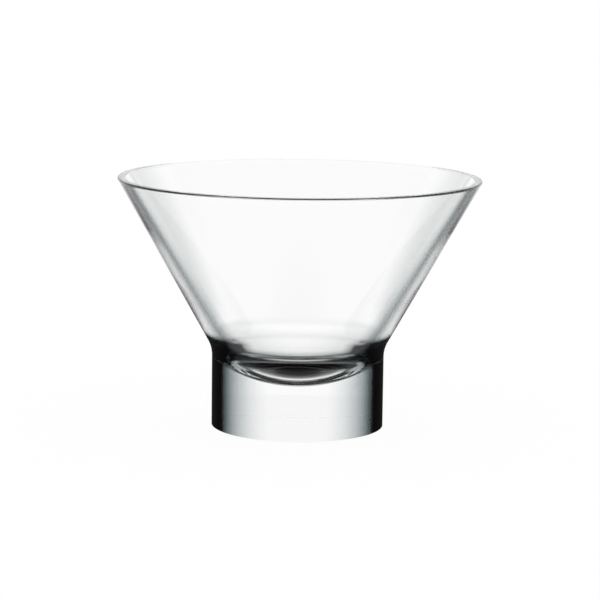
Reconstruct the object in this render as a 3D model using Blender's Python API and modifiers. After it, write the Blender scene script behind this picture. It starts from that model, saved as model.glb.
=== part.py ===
"""Sundae glass in clear pressed glass: a wide conical bowl fused into the cupped top of a short solid foot.

Both pieces are turned about +Z. The origin is on the table, under the middle of the foot. Sizes are in metres.
"""

import math

import bpy

# Driving dimensions
RIM_DIAMETER = 0.1208  # across the outer edge of the lip
HEIGHT = 0.0834  # from the table to the level top of the lip
LIP_WIDTH = 0.0027  # level top of the lip, from its inner edge to its outer edge
LIP_EDGE_RADIUS = 0.0004  # both edges of the lip, rounded by the fire
WALL_AT_FOOT = 0.0042  # wall of the bowl, measured square to it where it reaches the foot
BASE_THICKNESS = 0.0148  # solid glass under the lowest point inside the bowl
BOWL_BOTTOM = 0.0050  # the bowl's own share of that glass, on the axis
FOOT_DIAMETER = 0.0576
FOOT_HEIGHT = 0.0264  # to the corner where foot and outer wall would meet without the neck curve
NECK_RADIUS = 0.0115  # hollow curve that eases the foot into the outer wall
FOOT_EDGE_RADIUS = 0.0003  # lower edge of the foot, only just broken round its flat base
SEAT_CLEARANCE = 0.0003  # between the bowl's round bottom and the foot's cup

# Facets
TURN_STEPS = 80
DISH_STEPS = 10
LIP_STEPS = 5
NECK_STEPS = 5
SEAT_STEPS = 8
EDGE_STEPS = 3

# Clear soda-lime glass with a faint cold tint
GLASS_COLOUR = (0.94, 0.97, 0.96, 1.0)
GLASS_ROUGHNESS = 0.02
GLASS_IOR = 1.50

MERGE_DISTANCE = 0.00001


class Outline:
    """The lines, arcs and tangent points in the XZ plane that both pieces share."""

    def __init__(self):
        self.foot_radius = FOOT_DIAMETER / 2

        # The lip is level between two small round edges, and each face of the wall just touches one of them.
        edge_height = HEIGHT - LIP_EDGE_RADIUS
        self.outer_edge = (RIM_DIAMETER / 2 - LIP_EDGE_RADIUS, edge_height)
        self.inner_edge = (RIM_DIAMETER / 2 - LIP_WIDTH + LIP_EDGE_RADIUS, edge_height)
        self.outer_lean = self.lean_of_wall(self.outer_edge, LIP_EDGE_RADIUS)
        self.inner_lean = self.lean_of_wall(self.inner_edge, WALL_AT_FOOT - LIP_EDGE_RADIUS)

        # The dish is the ball that touches the inner wall all round and dips to the base thickness.
        inner_offset = WALL_AT_FOOT - self.foot_radius * math.cos(self.inner_lean)
        inner_offset += FOOT_HEIGHT * math.sin(self.inner_lean)
        self.dish_height = (BASE_THICKNESS - inner_offset) / (1 - math.sin(self.inner_lean))
        self.dish_radius = self.dish_height - BASE_THICKNESS

        # The neck curve touches the upright side of the foot and the outer wall.
        self.neck_bottom = FOOT_HEIGHT - NECK_RADIUS * math.tan(self.outer_lean / 2)

        # The bowl's round bottom runs from the foot of the neck curve to its lowest point on the axis.
        seat_bottom = BASE_THICKNESS - BOWL_BOTTOM
        seat_rise = self.neck_bottom - seat_bottom
        self.seat_radius = (self.foot_radius**2 + seat_rise**2) / (2 * seat_rise)
        self.seat_height = seat_bottom + self.seat_radius

    def lean_of_wall(self, edge, gap):
        """Lean from upright of a wall that passes the middle of a lip edge at a gap, set out from the foot's corner."""
        across = edge[0] - self.foot_radius
        rise = edge[1] - FOOT_HEIGHT
        return math.atan2(across, rise) + math.asin(gap / math.hypot(across, rise))


def arc(centre, radius, start, end, steps):
    """Points on a circle from one angle to another, both ends included."""
    points = []
    for step in range(steps + 1):
        angle = start + (end - start) * step / steps
        points.append((centre[0] + radius * math.cos(angle), centre[1] + radius * math.sin(angle)))
    return points


def on_axis(points, index):
    """The same points, with one of them set exactly on the axis of turning."""
    points[index] = (0.0, points[index][1])
    return points


def bowl_profile(outline):
    """Up the inside from the axis, over the lip, down the outside and the neck, and back along the round bottom."""
    up = math.pi / 2
    down = -math.pi / 2
    dish = arc((0.0, outline.dish_height), outline.dish_radius, down, -outline.inner_lean, DISH_STEPS)
    lip = arc(outline.inner_edge, LIP_EDGE_RADIUS, math.pi - outline.inner_lean, up, LIP_STEPS)
    lip += arc(outline.outer_edge, LIP_EDGE_RADIUS, up, -outline.outer_lean, LIP_STEPS)
    neck_centre = (outline.foot_radius + NECK_RADIUS, outline.neck_bottom)
    neck = arc(neck_centre, NECK_RADIUS, math.pi - outline.outer_lean, math.pi, NECK_STEPS)
    edge = -math.acos(outline.foot_radius / outline.seat_radius)
    seat = arc((0.0, outline.seat_height), outline.seat_radius, edge, down, SEAT_STEPS)
    return on_axis(dish, 0) + lip + neck + on_axis(seat, -1)[1:]


def foot_profile(outline):
    """Out along the cup from the axis, down the side, round the lower edge, and in along the flat base."""
    down = -math.pi / 2
    cup_radius = outline.seat_radius + SEAT_CLEARANCE
    edge = -math.acos(outline.foot_radius / cup_radius)
    cup = arc((0.0, outline.seat_height), cup_radius, down, edge, SEAT_STEPS)

    corner_centre = (outline.foot_radius - FOOT_EDGE_RADIUS, FOOT_EDGE_RADIUS)
    corner = arc(corner_centre, FOOT_EDGE_RADIUS, 0.0, down, EDGE_STEPS)
    return on_axis(cup, 0) + corner + [(0.0, 0.0)]


def glass(name):
    """Clear glass as a Principled material that passes light."""
    material = bpy.data.materials.new(name)
    material.use_nodes = True
    shader = material.node_tree.nodes["Principled BSDF"]
    shader.inputs["Base Color"].default_value = GLASS_COLOUR
    shader.inputs["Metallic"].default_value = 0.0
    shader.inputs["Roughness"].default_value = GLASS_ROUGHNESS
    shader.inputs["IOR"].default_value = GLASS_IOR
    shader.inputs["Transmission Weight"].default_value = 1.0
    material.diffuse_color = GLASS_COLOUR
    return material


def turned(name, profile, material, collection):
    """A profile in the XZ plane, swept a full turn about Z into one closed solid."""
    mesh = bpy.data.meshes.new(name)
    points = [(x, 0.0, z) for x, z in profile]
    edges = [(i, i + 1) for i in range(len(points) - 1)]
    mesh.from_pydata(points, edges, [])
    mesh.materials.append(material)
    piece = bpy.data.objects.new(name, mesh)
    collection.objects.link(piece)

    sweep = piece.modifiers.new("Turn", "SCREW")
    sweep.axis = "Z"
    sweep.angle = 2 * math.pi
    sweep.steps = TURN_STEPS
    sweep.render_steps = TURN_STEPS
    sweep.use_merge_vertices = True
    sweep.merge_threshold = MERGE_DISTANCE
    sweep.use_smooth_shade = True
    return piece


def main():
    for old in list(bpy.data.objects):
        bpy.data.objects.remove(old, do_unlink=True)

    collection = bpy.data.collections.new("sundae_glass")
    bpy.context.scene.collection.children.link(collection)

    outline = Outline()
    turned("bowl", bowl_profile(outline), glass("bowl_glass"), collection)
    turned("foot", foot_profile(outline), glass("foot_glass"), collection)


main()
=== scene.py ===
# %% [markdown]
# # A sundae glass on a white table
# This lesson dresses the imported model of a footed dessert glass: a wide conical bowl on a short
# solid foot, both clear and colourless, fused into one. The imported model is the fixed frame. Finer
# surfaces stand in for its two faceted solids, because glass shows every facet twice: once on its
# skin and once in everything seen through it.

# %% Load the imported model
import math

import bpy
import numpy as np
from mathutils import Matrix


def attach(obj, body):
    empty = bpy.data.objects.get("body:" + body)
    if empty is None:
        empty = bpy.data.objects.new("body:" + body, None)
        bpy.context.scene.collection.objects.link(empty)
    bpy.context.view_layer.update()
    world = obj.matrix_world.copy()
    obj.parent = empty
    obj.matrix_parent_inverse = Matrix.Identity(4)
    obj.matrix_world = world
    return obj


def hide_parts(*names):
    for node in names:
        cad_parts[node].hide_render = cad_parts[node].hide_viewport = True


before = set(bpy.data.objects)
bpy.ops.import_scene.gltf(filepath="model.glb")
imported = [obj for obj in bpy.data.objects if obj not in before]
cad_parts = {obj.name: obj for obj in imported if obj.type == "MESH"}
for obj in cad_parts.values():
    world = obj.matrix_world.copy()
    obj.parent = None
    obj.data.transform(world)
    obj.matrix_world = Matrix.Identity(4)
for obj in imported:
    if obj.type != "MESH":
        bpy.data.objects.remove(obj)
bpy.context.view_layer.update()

# %% [markdown]
# ## The outline of the glass
# A pressed glass is turned about one axis, so half of its section says everything. Sizes are in
# metres and are those of the solids; only the rim is drawn a hundredth of a millimetre inside its
# solid, and the lower edge of the foot is left crisper. The outside is a straight cone that runs
# through a hollow neck curve into an upright foot. The inside is a straight wall that runs into a
# ball-shaped dish. The lip is level, between two small round edges.

# %% Sizes
RIM_DIAMETER = 0.12079  # across the outer edge of the lip
HEIGHT = 0.0834
LIP_WIDTH = 0.0027  # level top of the lip, from edge to edge
LIP_EDGE_RADIUS = 0.0004
WALL_AT_FOOT = 0.0042  # square to the wall, where it reaches the foot
BASE_THICKNESS = 0.0148  # solid glass under the lowest point of the dish
BOWL_BOTTOM = 0.0050  # the bowl's share of that glass
FOOT_DIAMETER = 0.0576
FOOT_HEIGHT = 0.0264  # to the corner where foot and wall would meet without the neck curve
NECK_RADIUS = 0.0115
FOOT_EDGE_RADIUS = 0.00001

foot_radius = FOOT_DIAMETER / 2
corner = np.array([foot_radius, FOOT_HEIGHT])
outer_edge = np.array([RIM_DIAMETER / 2 - LIP_EDGE_RADIUS, HEIGHT - LIP_EDGE_RADIUS])
inner_edge = outer_edge - np.array([LIP_WIDTH - 2 * LIP_EDGE_RADIUS, 0.0])


def lean_of_wall(edge, gap):
    """Lean from upright of a wall set out from the foot's corner, that passes a lip edge at a gap.

    It is the lean of the line from the corner to the middle of the edge, plus asin(gap / its length).
    """
    across, rise = edge - corner
    return math.atan2(across, rise) + math.asin(gap / math.hypot(across, rise))


outer_lean = lean_of_wall(outer_edge, LIP_EDGE_RADIUS)
inner_lean = lean_of_wall(inner_edge, WALL_AT_FOOT - LIP_EDGE_RADIUS)
leans = [round(math.degrees(lean), 2) for lean in (outer_lean, inner_lean)]
print("walls lean in degrees, outside and inside:", leans)

# %% [markdown]
# The dish is the ball that touches the inner wall all round and dips to the base thickness: its
# middle is as far from the wall as from its lowest point, which gives its height. The neck curve
# touches the foot's side and the outer wall. The bowl's round bottom, its seat, is an arc through the
# end of the neck curve and a point on the axis. Wherever two stretches of glass skin meet they share a
# tangent, so no crease shows in the bowl.

# %% Where the stretches meet
wall_out = np.array([math.cos(inner_lean), -math.sin(inner_lean)])
wall_offset = wall_out @ corner - WALL_AT_FOOT
dish_height = (BASE_THICKNESS + wall_offset) / (1 - math.sin(inner_lean))
dish_radius = dish_height - BASE_THICKNESS
dish_centre = np.array([0.0, dish_height])

neck_bottom = FOOT_HEIGHT - NECK_RADIUS * math.tan(outer_lean / 2)
neck_centre = np.array([foot_radius + NECK_RADIUS, neck_bottom])
seat_bottom = BASE_THICKNESS - BOWL_BOTTOM
seat_rise = neck_bottom - seat_bottom
seat_radius = (foot_radius**2 + seat_rise**2) / (2 * seat_rise)
seat_centre = np.array([0.0, seat_bottom + seat_radius])
print("in mm, dish radius", round(1000 * dish_radius, 2), "neck ends at", round(1000 * neck_bottom, 2))


# %% Arcs and straights
def arc(centre, radius, start, end, count, side):
    """Points centre + radius * (cos a, sin a) for a from start to end; normals side * (cos a, sin a)."""
    angle = np.linspace(start, end, count)
    way = np.stack([np.cos(angle), np.sin(angle)], 1)
    return centre + radius * way, side * way


def straight(start, end, count):
    """Points start + t * (end - start), with normals a quarter turn to the left of the way they run."""
    t = np.linspace(0, 1, count)[:, None]
    run = (end - start) / np.hypot(*(end - start))
    return start + t * (end - start), np.tile([-run[1], run[0]], (count, 1))


print("normal of a straight that runs up:", straight(np.zeros(2), np.array([0.0, 1.0]), 2)[1][0])

# %% [markdown]
# Each stretch gets its own number of rings: many on the walls, where light grazes the skin, and few
# where the glass is flat or where bowl and foot are fused.

# %% Stretches of the bowl
DISH_RINGS = 40
INNER_WALL_RINGS = 48
LIP_INSIDE_RINGS = 6
LIP_TOP_RINGS = 2
LIP_OUTSIDE_RINGS = 10
OUTER_WALL_RINGS = 64
NECK_RINGS = 16
SEAT_RINGS = 8

up = math.pi / 2
down = -math.pi / 2
dish = arc(dish_centre, dish_radius, down, -inner_lean, DISH_RINGS, -1)
lip_in = arc(inner_edge, LIP_EDGE_RADIUS, math.pi - inner_lean, up, LIP_INSIDE_RINGS, 1)
lip_out = arc(outer_edge, LIP_EDGE_RADIUS, up, -outer_lean, LIP_OUTSIDE_RINGS, 1)
lip_top = straight(lip_in[0][-1], lip_out[0][0], LIP_TOP_RINGS)
neck = arc(neck_centre, NECK_RADIUS, math.pi - outer_lean, math.pi, NECK_RINGS, -1)
inner_wall = straight(dish[0][-1], lip_in[0][0], INNER_WALL_RINGS)
outer_wall = straight(lip_out[0][-1], neck[0][0], OUTER_WALL_RINGS)
seat_edge = -math.acos(foot_radius / seat_radius)
seat = arc(seat_centre, seat_radius, seat_edge, down, SEAT_RINGS, 1)
dish_end = np.round(1000 * dish[0][-1], 2)
neck_top = neck[0][0, 1]
print("in mm, dish meets the wall at", dish_end, "and neck starts at", round(1000 * neck_top, 2))

# %% [markdown]
# ## What the glass does with light
# Light that enters a glass wall at a slant meets its inner face. Below a certain slant it gets
# through, and beyond it is led along inside the wall. For a turned wall that limit is reached when the
# cosine of the slant equals sqrt(1 - (inner radius / outer radius)^2). The pieces carry this number on
# every point, so that the finish can paint the dark line, a painted shade, that runs down a glass where
# its inner face begins. A second number marks the neck, where the glass is thickest and hardly any light
# comes out again, and where the finish paints it black as painted shade.

# %% Numbers that the finish reads
NECK_FADE_UP = 0.0015
NECK_FADE_DOWN = 0.0020
LEAST_RADIUS = 1e-6  # keeps the division away from the axis
LEAST_SQUARE = 0.01  # of the wall limit, where the wall has no thickness


def smooth(low, high, value):
    """0 below low, 1 above high, and 3t^2 - 2t^3 between."""
    t = np.clip((value - low) / (high - low), 0, 1)
    return t * t * (3 - 2 * t)


def wall_limit(rings):
    """The cosine sqrt(1 - (inner / outer)^2) at each (r, z).

    Outer is r itself, and inner is the radius of the inside at the same height.
    """
    inside = np.concatenate([dish[0], inner_wall[0]])
    inner = np.interp(rings[:, 1], inside[:, 1], inside[:, 0])
    return np.sqrt(np.clip(1 - (inner / np.maximum(rings[:, 0], LEAST_RADIUS)) ** 2, LEAST_SQUARE, 1))


def neck_share(rings):
    """1 along the neck curve, fading to 0 over a short way above and below it."""
    above = smooth(neck_top, neck_top + NECK_FADE_UP, rings[:, 1])
    return smooth(neck_bottom - NECK_FADE_DOWN, neck_bottom, rings[:, 1]) * (1 - above)


print("wall limit at rim and neck:", np.round(wall_limit(outer_wall[0])[[0, -1]], 3))

# %% [markdown]
# ## From outline to surface
# Blender's Screw modifier could turn the outline, but it guesses the normals from the faces. Glass
# bends light by its normals, so they are worked out here with the points, from the same arcs. Many
# steps round and many rings on the walls keep the light that grazes the wall from breaking up.

# %% Turn an outline about the axis
TURN_STEPS = 512
turn = np.arange(TURN_STEPS) * 2 * np.pi / TURN_STEPS
turn_next = np.roll(np.arange(TURN_STEPS), -1)


def swept(flat):
    """Each (r, z) of flat carried round the axis: (r cos t, r sin t, z) for every step t."""
    across = flat[None, :, 0] * np.stack([np.cos(turn), np.sin(turn)])[:, :, None]
    height = np.broadcast_to(flat[None, :, 1], across[0].shape)
    return np.stack([across[0], across[1], height], -1)


def joined(outline, finishes):
    """Stretches end to end: their rings, and for each step two normals and the number of its finish."""
    stretches = [stretch for stretch, _ in outline]
    rings = np.concatenate([stretches[0][0]] + [points[1:] for points, _ in stretches[1:]])
    rings[[0, -1], 0] = 0
    first = np.concatenate([normals[:-1] for _, normals in stretches])
    last = np.concatenate([normals[1:] for _, normals in stretches])
    slots = [np.full(len(points) - 1, finishes.index(finish)) for (points, _), finish in outline]
    return rings, first, last, np.concatenate(slots)


print("a full turn has", TURN_STEPS, "steps of", round(360 / TURN_STEPS, 3), "degrees")


# %% Faces and corner normals
def faces_round(belt):
    """Quads between neighbouring steps and rings, and a fan of triangles to the axis at each end."""
    here = np.arange(TURN_STEPS)[:, None] * belt + np.arange(belt - 1)
    there = turn_next[:, None] * belt + np.arange(belt - 1)
    quads = np.stack([here, here + 1, there + 1, there], -1).reshape(-1, 4)
    spokes = np.arange(TURN_STEPS) * belt
    pole = np.full(TURN_STEPS, TURN_STEPS * belt)
    first_fan = np.stack([pole, spokes, turn_next * belt], -1)
    last_fan = np.stack([spokes + belt - 1, pole + 1, turn_next * belt + belt - 1], -1)
    return quads.tolist() + first_fan.tolist() + last_fan.tolist()


def normals_round(first, last):
    """The normals of each step carried round the axis, one for each corner in the order of the faces."""
    head, tail = swept(first), swept(last)
    head_next, tail_next = head[turn_next], tail[turn_next]
    quads = np.stack([head, tail, tail_next, head_next], 2)[:, 1:-1].reshape(-1, 3)
    first_fan = np.stack([head[:, 0], tail[:, 0], tail_next[:, 0]], 1).reshape(-1, 3)
    last_fan = np.stack([head[:, -1], tail[:, -1], head_next[:, -1]], 1).reshape(-1, 3)
    return np.concatenate([quads, first_fan, last_fan])


print("five rings make", len(faces_round(5)), "faces")


# %% One closed skin
def turned_piece(name, outline, finishes):
    """Stretches that start and end on the axis, turned into one skin; each stretch names its finish."""
    rings, first, last, slots = joined(outline, finishes)
    ends = [[0, 0, rings[0, 1]], [0, 0, rings[-1, 1]]]
    mesh = bpy.data.meshes.new(name)
    skin = np.concatenate([swept(rings[1:-1]).reshape(-1, 3), ends])
    mesh.from_pydata(skin, [], faces_round(len(rings) - 2))
    slots = np.concatenate([np.tile(slots[1:-1], TURN_STEPS), np.repeat(slots[[0, -1]], TURN_STEPS)])
    mesh.polygons.foreach_set("material_index", slots.astype(np.int32))
    mesh.polygons.foreach_set("use_smooth", np.ones(len(slots), bool))
    for number, of_rings in (("wall_limit", wall_limit), ("neck_share", neck_share)):
        value = of_rings(rings)
        value = np.concatenate([np.tile(value[1:-1], TURN_STEPS), value[[0, -1]]])
        mesh.attributes.new(number, "FLOAT", "POINT").data.foreach_set("value", value)

    mesh.update()
    normals = normals_round(first, last)
    mesh.normals_split_custom_set(normals.tolist())
    piece = bpy.data.objects.new(name, mesh)
    bpy.context.scene.collection.objects.link(piece)

    flat = np.zeros(3 * len(slots))
    mesh.polygons.foreach_get("normal", flat)
    quads = len(slots) - 2 * TURN_STEPS
    agree = np.sum(flat.reshape(-1, 3)[:quads] * normals[: 4 * quads].reshape(-1, 4, 3).mean(1), 1)
    print(name, len(slots), "faces, least agreement of faces and normals", round(float(agree.min()), 4))
    return piece


# %% [markdown]
# ## The bowl
# The press forms the inside with a plunger and the outside with a mould. The lip is cut level, and a
# flame then rounds its two edges. The outline starts in the middle of the dish, climbs the wall, goes
# over the lip and comes down outside to the end of the neck curve. Its round bottom is where bowl and
# foot were one gather of hot glass.

# %% Bowl
BOWL_FINISHES = ["plunger_side", "lip", "lip_edge", "mould_side", "joint"]
bowl_outline = [
    (dish, "plunger_side"),
    (inner_wall, "plunger_side"),
    (lip_in, "lip"),
    (lip_top, "lip"),
    (lip_out, "lip_edge"),
    (outer_wall, "mould_side"),
    (neck, "mould_side"),
    (seat, "joint"),
]
bowl = turned_piece("bowl_pressed_glass", bowl_outline, BOWL_FINISHES)

# %% [markdown]
# ## The foot
# The foot is one solid block: a cup that takes the bowl's round bottom, an upright side and a flat
# base with a crisp edge. A hundredth of a millimetre keeps its cup clear of the bowl.

# %% Foot
JOINT_GAP = 0.00001
FOOT_EDGE_RINGS = 4
FOOT_SIDE_RINGS = 16
BASE_RINGS = 6
cup_radius = seat_radius + JOINT_GAP
cup_edge = -math.acos(foot_radius / cup_radius)
cup = arc(seat_centre, cup_radius, down, cup_edge, SEAT_RINGS, -1)
edge_centre = np.array([foot_radius - FOOT_EDGE_RADIUS, FOOT_EDGE_RADIUS])
edge = arc(edge_centre, FOOT_EDGE_RADIUS, 0.0, down, FOOT_EDGE_RINGS, 1)
side = straight(cup[0][-1], edge[0][0], FOOT_SIDE_RINGS)
base = straight(edge[0][-1], np.array([0.0, 0.0]), BASE_RINGS)
FOOT_FINISHES = ["foot_side", "base", "joint"]
foot_outline = [(cup, "joint"), (side, "foot_side"), (edge, "base"), (base, "base")]
foot = turned_piece("foot_pressed_glass", foot_outline, FOOT_FINISHES)


# %% [markdown]
# ## Clear pressed glass
# Soda-lime glass from a polished mould is colourless in a thin wall. Seen along the wall it goes a cold
# grey-green to nearly black, because light that enters at a slant is led away sideways. Volume
# absorption could colour it, but what darkens here is light lost to the sides, not glass that is
# stained, so here that darkening is painted shade in the base colour. Layer Weight knows how slanted the
# view is, so each skin carries its own painted shade by slant.

# %% One way to add a node, and colours
def add(tree, kind, sockets=None, stops=None, **settings):
    """Adds a node, sets its properties, sockets and ramp, and links a socket that is given as one."""
    made = tree.nodes.new(kind)
    for key, value in settings.items():
        setattr(made, key, value)
    for key, value in (sockets or {}).items():
        if isinstance(value, bpy.types.NodeSocket):
            tree.links.new(value, made.inputs[key])
        else:
            made.inputs[key].default_value = value
    if stops:
        elements = made.color_ramp.elements
        while len(elements) < len(stops):
            elements.new(1.0)
        for element, (place, code) in zip(elements, stops):
            element.position = place
            element.color = linear(code)
    return made


def linear(code):
    """An sRGB hex colour as the linear RGBA that shaders use."""
    value = np.array([int(code[k : k + 2], 16) / 255 for k in (0, 2, 4)])
    bent = np.where(value <= 0.04045, value / 12.92, ((value + 0.055) / 1.055) ** 2.4)
    return (*bent.tolist(), 1.0)


WHITE = linear("ffffff")
print("white is", WHITE)

# %% [markdown]
# The flame that polishes the skin also leaves a faint long swell in it, a few thousandths of a
# millimetre high over one or two centimetres. It is far too low to see as a bump, but it makes the
# reflections wander a little.

# %% Fire-polished glass
SWELL_LENGTH = 0.016
SWELL_HEIGHT = 0.000003
GLASS_IOR = 1.50
FACING_BLEND = 0.5  # Facing is then one minus the cosine of the slant


def pressed_glass(name, painted_shade=None):
    """Clear glass with the flame's swell, and its colour from painted_shade(tree, slant, place) where
    given: shade painted by slant.
    """
    material = bpy.data.materials.new(name)
    material.use_nodes = True
    tree = material.node_tree
    tree.nodes.clear()
    place = add(tree, "ShaderNodeTexCoord").outputs["Object"]
    swell = {"Vector": place, "Scale": 1 / SWELL_LENGTH, "Detail": 0.0}
    swell = add(tree, "ShaderNodeTexNoise", swell).outputs["Fac"]
    skin = add(tree, "ShaderNodeBump", {"Height": swell, "Distance": SWELL_HEIGHT}).outputs["Normal"]
    glass = {"Base Color": WHITE, "Roughness": 0.0, "IOR": GLASS_IOR, "Transmission Weight": 1.0}
    glass["Normal"] = skin
    # painted shade: the base colour darkens by the slant that Layer Weight gives
    if painted_shade:
        slant = add(tree, "ShaderNodeLayerWeight", {"Blend": FACING_BLEND}).outputs["Facing"]
        glass["Base Color"] = painted_shade(tree, slant, place)
    shader = add(tree, "ShaderNodeBsdfPrincipled", glass)
    add(tree, "ShaderNodeOutputMaterial", {"Surface": shader.outputs["BSDF"]})
    print(name, len(tree.nodes), "nodes")
    return material


# %% [markdown]
# ### Inside and lip
# The inside shows a painted soft grey shade only where the upper wall turns away from the eye; the dish
# itself is clear. The level top of the lip is clear too. Its outer edge bends light away from the eye,
# so it carries a painted dark line of shade, drawn where light goes in and not where it comes out at the
# back.

# %% Painted shade inside and on the lip
# painted shade inside: grey where the upper wall turns away from the eye, by slant
PLUNGER_SIDE = [
    (0.0, "ffffff"),
    (0.40, "ffffff"),
    (0.52, "dfe2e2"),
    (0.64, "c8cdcd"),
    (0.75, "d7dbdb"),
    (0.86, "fdfdfd"),
]
# painted shade: the dark line that the lip's rounded edge shows, by slant
LIP_EDGE = [
    (0.0, "ffffff"),
    (0.06, "ffffff"),
    (0.16, "8a9192"),
    (0.30, "303838"),
    (0.50, "0c1010"),
    (1.0, "0c1010"),
]
WALL_STARTS = 0.030
WALL_FULL = 0.040


def plunger_side_painted_shade(tree, slant, place):
    """Painted shade: grey by slant on the wall, fading out downwards into the dish."""
    grey = add(tree, "ShaderNodeValToRGB", {"Fac": slant}, PLUNGER_SIDE).outputs["Color"]
    height = add(tree, "ShaderNodeSeparateXYZ", {"Vector": place}).outputs["Z"]
    on_wall = {"Value": height, "From Min": WALL_STARTS, "From Max": WALL_FULL}
    on_wall = add(tree, "ShaderNodeMapRange", on_wall, interpolation_type="SMOOTHSTEP").outputs["Result"]
    mixed = {"Factor": on_wall, "A": WHITE, "B": grey}
    return add(tree, "ShaderNodeMix", mixed, data_type="RGBA").outputs["Result"]


def lip_edge_painted_shade(tree, slant, place):
    """Painted shade: dark by slant where light enters, clear where it leaves."""
    dark = add(tree, "ShaderNodeValToRGB", {"Fac": slant}, LIP_EDGE).outputs["Color"]
    leaving = add(tree, "ShaderNodeNewGeometry").outputs["Backfacing"]
    mixed = {"Factor": leaving, "A": dark, "B": WHITE}
    return add(tree, "ShaderNodeMix", mixed, data_type="RGBA").outputs["Result"]


glasses = {
    "plunger_side": pressed_glass("soda_lime_glass_pressed_by_plunger_painted_shade", plunger_side_painted_shade),
    "lip": pressed_glass("soda_lime_glass_flame_polished_lip"),
    "lip_edge": pressed_glass("soda_lime_glass_flame_rounded_lip_edge_painted_shade", lip_edge_painted_shade),
    "base": pressed_glass("soda_lime_glass_polished_base"),
}

# %% [markdown]
# ### Outer wall
# Three painted shades darken the outer wall. Close to its edge, seen along the skin, it is painted grey.
# A little further in runs a painted dark line where the inner face begins: its place is the cosine of
# the slant over twice the wall limit, a number that is the same from rim to neck. Low down, at the
# shoulder above the neck, the wall is so thick that light entering at a slant is lost: painted black.

# %% Painted shade of the outer wall
# painted shade near the outer wall's edge, by slant
MOULD_SIDE = [
    (0.0, "ffffff"),
    (0.73, "ffffff"),
    (0.76, "e6e9e9"),
    (0.79, "bbc1c2"),
    (0.82, "9aa2a3"),
    (0.86, "6a7374"),
    (1.0, "6a7374"),
]
# painted dark line where the inner face begins, by share
WALL_LINE = [
    (0.0, "ffffff"),
    (0.24, "ffffff"),
    (0.28, "f6f7f7"),
    (0.325, "d4d8d8"),
    (0.375, "979d9e"),
    (0.425, "646c6d"),
    (0.475, "8f9697"),
    (0.525, "d7dbdb"),
    (0.58, "ffffff"),
]
THIN_WALL = 0.34  # wall limits between which the colour by slant fades out
THICK_WALL = 0.48


def wall_painted_shade(tree, slant):
    """Painted shade by slant where the wall is thin, times a painted dark line by (1 - slant) / (2 *
    wall limit).
    """
    grey = add(tree, "ShaderNodeValToRGB", {"Fac": slant}, MOULD_SIDE).outputs["Color"]
    limit = add(tree, "ShaderNodeAttribute", attribute_name="wall_limit").outputs["Fac"]
    thick = {"Value": limit, "From Min": THIN_WALL, "From Max": THICK_WALL}
    thick = add(tree, "ShaderNodeMapRange", thick).outputs["Result"]
    mixed = {"Factor": thick, "A": grey, "B": WHITE}
    grey = add(tree, "ShaderNodeMix", mixed, data_type="RGBA").outputs["Result"]
    square = add(tree, "ShaderNodeMath", {0: 1.0, 1: slant}, operation="SUBTRACT").outputs[0]
    twice = add(tree, "ShaderNodeMath", {0: limit, 1: 2.0}, operation="MULTIPLY").outputs[0]
    share = add(tree, "ShaderNodeMath", {0: square, 1: twice}, operation="DIVIDE").outputs[0]
    line = add(tree, "ShaderNodeValToRGB", {"Fac": share}, WALL_LINE).outputs["Color"]
    both = {"Factor": 1.0, "A": grey, "B": line}
    return add(tree, "ShaderNodeMix", both, data_type="RGBA", blend_type="MULTIPLY").outputs["Result"]


print("dark line is deepest at a share of", min(WALL_LINE, key=lambda stop: stop[1])[0])

# %% Painted shade of the shoulder
# painted shade: the shoulder goes black by slant where light enters
SHOULDER = [(0.0, "ffffff"), (0.33, "ffffff"), (0.40, "020303"), (1.0, "000101")]
SHOULDER_FULL = 0.0312
SHOULDER_ENDS = 0.0338


def shoulder_painted_shade(tree, slant, place, above):
    """The colour above, going over to the shoulder's painted black shade below it, where light enters.
    """
    height = add(tree, "ShaderNodeSeparateXYZ", {"Vector": place}).outputs["Z"]
    low = {"Value": height, "From Min": SHOULDER_FULL, "From Max": SHOULDER_ENDS}
    low.update({"To Min": 1.0, "To Max": 0.0})
    low = add(tree, "ShaderNodeMapRange", low, interpolation_type="SMOOTHSTEP").outputs["Result"]
    leaving = add(tree, "ShaderNodeNewGeometry").outputs["Backfacing"]
    entering = add(tree, "ShaderNodeMath", {0: 1.0, 1: leaving}, operation="SUBTRACT").outputs[0]
    low = add(tree, "ShaderNodeMath", {0: low, 1: entering}, operation="MULTIPLY").outputs[0]
    dark = add(tree, "ShaderNodeValToRGB", {"Fac": slant}, SHOULDER).outputs["Color"]
    mixed = {"Factor": low, "A": above, "B": dark}
    return add(tree, "ShaderNodeMix", mixed, data_type="RGBA").outputs["Result"]


print("shoulder fades in mm:", round(1000 * SHOULDER_FULL, 1), "to", round(1000 * SHOULDER_ENDS, 1))

# %% [markdown]
# ### Neck and foot
# The neck is a ring of solid glass that turns away from the eye on all sides, so it is painted black
# soon, as painted shade. The foot's side is painted the same way more slowly: clear in the middle, grey
# further out, and black at both edges, a painted shade that gives it its look of depth.

# %% Painted shade of neck and foot
# painted shade of the neck, by slant
NECK = [
    (0.0, "ffffff"),
    (0.08, "e6e8e9"),
    (0.16, "c6cacb"),
    (0.24, "909899"),
    (0.32, "697273"),
    (0.40, "030506"),
    (0.50, "000000"),
]
# painted shade of the foot's side, by slant
FOOT_SIDE = [
    (0.0, "ffffff"),
    (0.08, "fefefe"),
    (0.16, "dbdfdf"),
    (0.24, "b1b7b8"),
    (0.32, "868f90"),
    (0.40, "4e5859"),
    (0.46, "21292a"),
    (0.52, "010101"),
    (0.56, "000000"),
]


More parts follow.
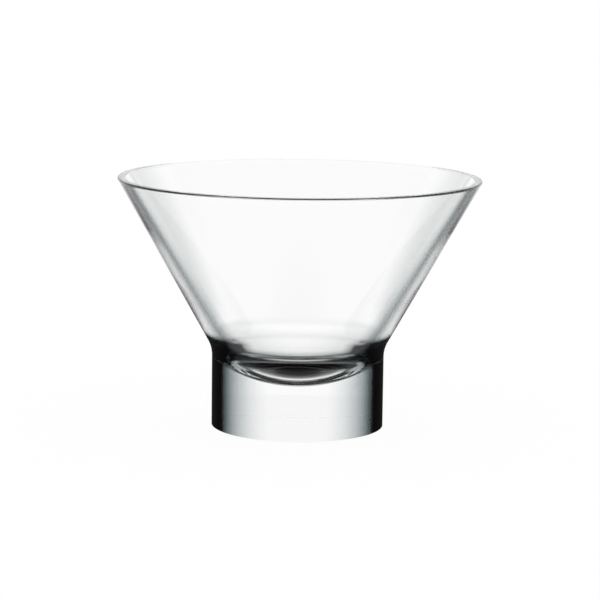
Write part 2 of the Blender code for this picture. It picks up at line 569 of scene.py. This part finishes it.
def neck_painted_shade(tree, slant, beside):
    """The colour beside the neck, going over to the neck's painted black shade by the number that the
    points carry.
    """
    share = add(tree, "ShaderNodeAttribute", attribute_name="neck_share").outputs["Fac"]
    dark = add(tree, "ShaderNodeValToRGB", {"Fac": slant}, NECK).outputs["Color"]
    mixed = {"Factor": share, "A": beside, "B": dark}
    return add(tree, "ShaderNodeMix", mixed, data_type="RGBA").outputs["Result"]


def mould_side_painted_shade(tree, slant, place):
    """Painted shade of the outer wall, then of the shoulder, then of the neck."""
    return neck_painted_shade(tree, slant, shoulder_painted_shade(tree, slant, place, wall_painted_shade(tree, slant)))


def foot_side_painted_shade(tree, slant, place):
    """Painted shade of the foot by slant, then of the neck."""
    grey = add(tree, "ShaderNodeValToRGB", {"Fac": slant}, FOOT_SIDE).outputs["Color"]
    return neck_painted_shade(tree, slant, grey)


glasses["mould_side"] = pressed_glass("soda_lime_glass_pressed_in_mould_painted_shade", mould_side_painted_shade)
glasses["foot_side"] = pressed_glass("soda_lime_glass_pressed_foot_painted_shade", foot_side_painted_shade)

# %% [markdown]
# ### The fused joint
# Where bowl and foot are fused there is no skin at all: light goes straight on from one into the
# other. Both joint faces therefore take a shader that leaves light as it is.

# %% Fused joint, and all finishes onto the pieces
fused_joint = bpy.data.materials.new("soda_lime_glass_fused_joint")
fused_joint.use_nodes = True
fused_joint.node_tree.nodes.clear()
clear = add(fused_joint.node_tree, "ShaderNodeBsdfTransparent", {"Color": WHITE})
add(fused_joint.node_tree, "ShaderNodeOutputMaterial", {"Surface": clear.outputs["BSDF"]})
glasses["joint"] = fused_joint

for piece, node, finishes in ((bowl, "bowl", BOWL_FINISHES), (foot, "foot", FOOT_FINISHES)):
    for finish in finishes:
        piece.data.materials.append(glasses[finish])
    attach(piece, "root")
    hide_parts(node)
    print(piece.name, "stands for", node, "with", finishes)

# %% [markdown]
# ## A white table
# Clear glass is drawn by what surrounds it. The camera sees the table as plain white that keeps a soft
# shadow. Bent by the glass, it is white too, but with a painted shadow right beside the foot, where
# glass and table shade each other, and under the foot it shows a painted ring of light and shade: lit at
# a middling slant, dark straight down. Mirrored by the glass, the table close by has a painted shade,
# because the bowl hangs over it, and is white further off. Each of these is a soft edge: a value, where
# the edge starts and ends, and the tone on either side of it.

# %% Table
TABLE_WIDTH = 40.0
TABLE_DROP = 0.0003  # below the base, so that the two don't lie in one plane
bpy.ops.mesh.primitive_plane_add(size=TABLE_WIDTH, location=(0.0, 0.0, -TABLE_DROP))
table = bpy.context.object
table.name = "table"
white_table = bpy.data.materials.new("white_laminate_table")
white_table.use_nodes = True
tree = white_table.node_tree
tree.nodes.clear()
place = add(tree, "ShaderNodeTexCoord").outputs["Object"]
away = add(tree, "ShaderNodeVectorMath", {0: place}, operation="LENGTH").outputs["Value"]
slant = add(tree, "ShaderNodeLayerWeight", {"Blend": FACING_BLEND}).outputs["Facing"]
# painted shadow and light on the table, for rays that the glass bends or mirrors
TABLE_EDGES = {
    "beside_foot": (away, 0.0345, 0.0385, 0.15, 1.0),
    "grazing": (slant, 0.45, 0.65, 0.0, 1.0),
    "middle": (away, 0.016, 0.022, 1.0, 0.03),
    "past_foot": (away, 0.0265, 0.0280, 0.0, 1.0),
    "far": (away, 0.150, 0.400, 0.03, 1.0),
    "steep": (slant, 0.20, 0.40, 1.0, 0.0),
}
part = {}
for name, (value, low, high, start, end) in TABLE_EDGES.items():
    limits = {"Value": value, "From Min": low, "From Max": high, "To Min": start, "To Max": end}
    soft = add(tree, "ShaderNodeMapRange", limits, interpolation_type="SMOOTHSTEP")
    part[name] = soft.outputs["Result"]
print("table at", round(1000 * table.location.z, 2), "mm with", len(part), "soft edges")

# %% What the table shows to each kind of ray
CAMERA_GLOW = 0.96
CAMERA_MATT = 0.04
# painted ring of light and shade under the foot, by slant
UNDER_FOOT_PAINTED_LIGHT = [
    (0.0, "0c0c0c"),
    (0.21, "3a3a3a"),
    (0.34, "6a6a6a"),
    (0.43, "a8a8a8"),
    (0.53, "f0f0f0"),
    (0.62, "f0f0f0"),
    (0.73, "808080"),
    (0.82, "101010"),
]
painted_under_foot = add(tree, "ShaderNodeValToRGB", {"Fac": slant}, UNDER_FOOT_PAINTED_LIGHT).outputs["Color"]
painted_under_foot = add(tree, "ShaderNodeMath", {0: painted_under_foot, 1: part["middle"]}, operation="MULTIPLY").outputs[0]
beside = {0: part["beside_foot"], 1: part["grazing"]}
beside = add(tree, "ShaderNodeMath", beside, operation="MAXIMUM").outputs[0]
bent = {"Factor": part["past_foot"], "A": painted_under_foot, "B": beside}
bent = add(tree, "ShaderNodeMix", bent).outputs["Result"]
mirrored = {0: part["far"], 1: part["steep"]}
mirrored = add(tree, "ShaderNodeMath", mirrored, operation="MAXIMUM").outputs[0]
rays = add(tree, "ShaderNodeLightPath").outputs
in_glass = {"Factor": rays["Is Transmission Ray"], "A": mirrored, "B": bent}
in_glass = add(tree, "ShaderNodeMix", in_glass).outputs["Result"]
seen = {0: rays["Is Camera Ray"], 1: CAMERA_GLOW}
seen = add(tree, "ShaderNodeMath", seen, operation="MULTIPLY").outputs[0]
seen = {"Factor": rays["Is Glossy Ray"], "A": seen, "B": in_glass}
seen = add(tree, "ShaderNodeMix", seen).outputs["Result"]
glow = add(tree, "ShaderNodeEmission", {"Color": WHITE, "Strength": seen}).outputs["Emission"]
matt = {0: rays["Is Camera Ray"], 1: CAMERA_MATT}
matt = add(tree, "ShaderNodeMath", matt, operation="MULTIPLY").outputs[0]
matt = add(tree, "ShaderNodeBsdfDiffuse", {"Color": matt}).outputs["BSDF"]
both = add(tree, "ShaderNodeAddShader", {0: matt, 1: glow}).outputs["Shader"]
add(tree, "ShaderNodeOutputMaterial", {"Surface": both})
table.data.materials.append(white_table)
print(white_table.name, len(tree.nodes), "nodes")

# %% [markdown]
# ## A soft studio
# Lamps could light the glass, but glass shows lamps as hard spots. A world made of a few soft panels
# does it better. Straight on, it is plain white. In the glass there is a white ring along the horizon.
# Bent light also finds a white sweep that rises high behind, two low ones beside the camera, and a
# small faint panel above it. A hoop overhead is there for mirrored light alone: it gives the clear
# front of the bowl back what its skins take away. All else is nearly black, which draws the dark lines.

# %% World
world = bpy.data.worlds.new("studio")
bpy.context.scene.world = world
world.use_nodes = True
tree = world.node_tree
tree.nodes.clear()
way = add(tree, "ShaderNodeTexCoord").outputs["Generated"]
axes = add(tree, "ShaderNodeSeparateXYZ", {"Vector": way}).outputs
HOOP_AXIS = (0.0, 0.383, 0.923)
PANEL_AXIS = (0.0, -0.857, 0.515)
to_hoop = {0: way, 1: HOOP_AXIS}
to_hoop = add(tree, "ShaderNodeVectorMath", to_hoop, operation="DOT_PRODUCT").outputs["Value"]
to_panel = {0: way, 1: PANEL_AXIS}
to_panel = add(tree, "ShaderNodeVectorMath", to_panel, operation="DOT_PRODUCT").outputs["Value"]
WORLD_EDGES = {
    "ring": (axes["Z"], 0.09, 0.21, 1.0, 0.0),
    "behind": (axes["Y"], 0.15, 0.45, 0.0, 1.0),
    "below_top": (axes["Z"], 0.63, 0.71, 1.0, 0.0),
    "before": (axes["Y"], -0.45, -0.15, 1.0, 0.0),
    "beside_camera": (axes["Y"], -0.93, -0.85, 0.0, 1.0),
    "below_camera": (axes["Z"], 0.30, 0.38, 1.0, 0.0),
    "in_hoop": (to_hoop, 0.46, 0.52, 0.0, 1.0),
    "out_of_hoop": (to_hoop, 0.62, 0.68, 1.0, 0.0),
    "panel": (to_panel, 0.970, 0.988, 0.0, 0.3),
}
part = {}
for name, (value, low, high, start, end) in WORLD_EDGES.items():
    limits = {"Value": value, "From Min": low, "From Max": high, "To Min": start, "To Max": end}
    soft = add(tree, "ShaderNodeMapRange", limits, interpolation_type="SMOOTHSTEP")
    part[name] = soft.outputs["Result"]
print("studio of", len(part), "soft edges")

# %% What the studio shows to each kind of ray
DARK = 0.02
sweep = {0: part["behind"], 1: part["below_top"]}
sweep = add(tree, "ShaderNodeMath", sweep, operation="MULTIPLY").outputs[0]
hoop = {0: part["in_hoop"], 1: part["out_of_hoop"]}
hoop = add(tree, "ShaderNodeMath", hoop, operation="MULTIPLY").outputs[0]
front = {0: part["before"], 1: part["below_camera"]}
front = add(tree, "ShaderNodeMath", front, operation="MULTIPLY").outputs[0]
front = {0: front, 1: part["beside_camera"]}
front = add(tree, "ShaderNodeMath", front, operation="MULTIPLY").outputs[0]
bent = add(tree, "ShaderNodeMath", {0: sweep, 1: part["panel"]}, operation="MAXIMUM").outputs[0]
bent = add(tree, "ShaderNodeMath", {0: bent, 1: front}, operation="MAXIMUM").outputs[0]
rays = add(tree, "ShaderNodeLightPath").outputs
overhead = {"Factor": rays["Is Transmission Ray"], "A": hoop, "B": bent}
overhead = add(tree, "ShaderNodeMix", overhead).outputs["Result"]
ring = add(tree, "ShaderNodeMath", {0: part["ring"], 1: DARK}, operation="MAXIMUM").outputs[0]
in_glass = add(tree, "ShaderNodeMath", {0: ring, 1: overhead}, operation="MAXIMUM").outputs[0]
by_glass = {0: rays["Is Glossy Ray"], 1: rays["Is Transmission Ray"]}
by_glass = add(tree, "ShaderNodeMath", by_glass, operation="MAXIMUM").outputs[0]
tone = add(tree, "ShaderNodeMix", {"Factor": by_glass, "A": 1.0, "B": in_glass}).outputs["Result"]
back = add(tree, "ShaderNodeBackground", {"Color": WHITE, "Strength": tone}).outputs["Background"]
add(tree, "ShaderNodeOutputWorld", {"Surface": back})
print(world.name, len(tree.nodes), "nodes")

# %% [markdown]
# ## Light paths
# Light crosses a glass skin eight times or more before it leaves the foot, and is led along the wall
# in many small steps. The usual limit of a dozen bounces would leave black patches there, so it is
# raised. Light that goes straight through the fused joint is counted apart, with a few to spare.

# %% Bounces
BOUNCES = 48
JOINT_CROSSINGS = 16
scene = bpy.context.scene
scene.view_settings.view_transform = "Standard"
scene.cycles.max_bounces = BOUNCES
scene.cycles.transmission_bounces = BOUNCES
scene.cycles.glossy_bounces = BOUNCES
scene.cycles.transparent_max_bounces = BOUNCES + JOINT_CROSSINGS
print("bounces:", scene.cycles.max_bounces)

# %% [markdown]
# ## The camera
# The view is a long lens from a little above the rim. Its distance, height, tilt and length were
# worked out together from the ellipse of the rim, the two straight walls and the foot: the rounder the
# rim looks, the higher the camera, and the more the foot shrinks against the rim, the closer it is.

# %% Camera
FOCAL_PIXELS = 2366.6
FRAME_PIXELS = 600.0
SENSOR_WIDTH = 36.0
CAMERA_PLACE = (0.0, -0.7809, 0.1704)
CAMERA_DIP = 0.1628
CAMERA_ROLL = 0.0125
SIDE_PIXELS = -1.541  # how far the camera is turned aside, in pixels of the frame
camera_data = bpy.data.cameras.new("camera")
camera_data.sensor_width = SENSOR_WIDTH
camera_data.lens = FOCAL_PIXELS * SENSOR_WIDTH / FRAME_PIXELS
camera = bpy.data.objects.new("camera", camera_data)
scene.collection.objects.link(camera)
camera.matrix_world = (
    Matrix.Translation(CAMERA_PLACE)
    @ Matrix.Rotation(SIDE_PIXELS / FOCAL_PIXELS, 4, "Z")
    @ Matrix.Rotation(math.pi / 2 - CAMERA_DIP, 4, "X")
    @ Matrix.Rotation(CAMERA_ROLL, 4, "Z")
)
scene.camera = camera
print("lens in mm:", round(camera_data.lens, 1))
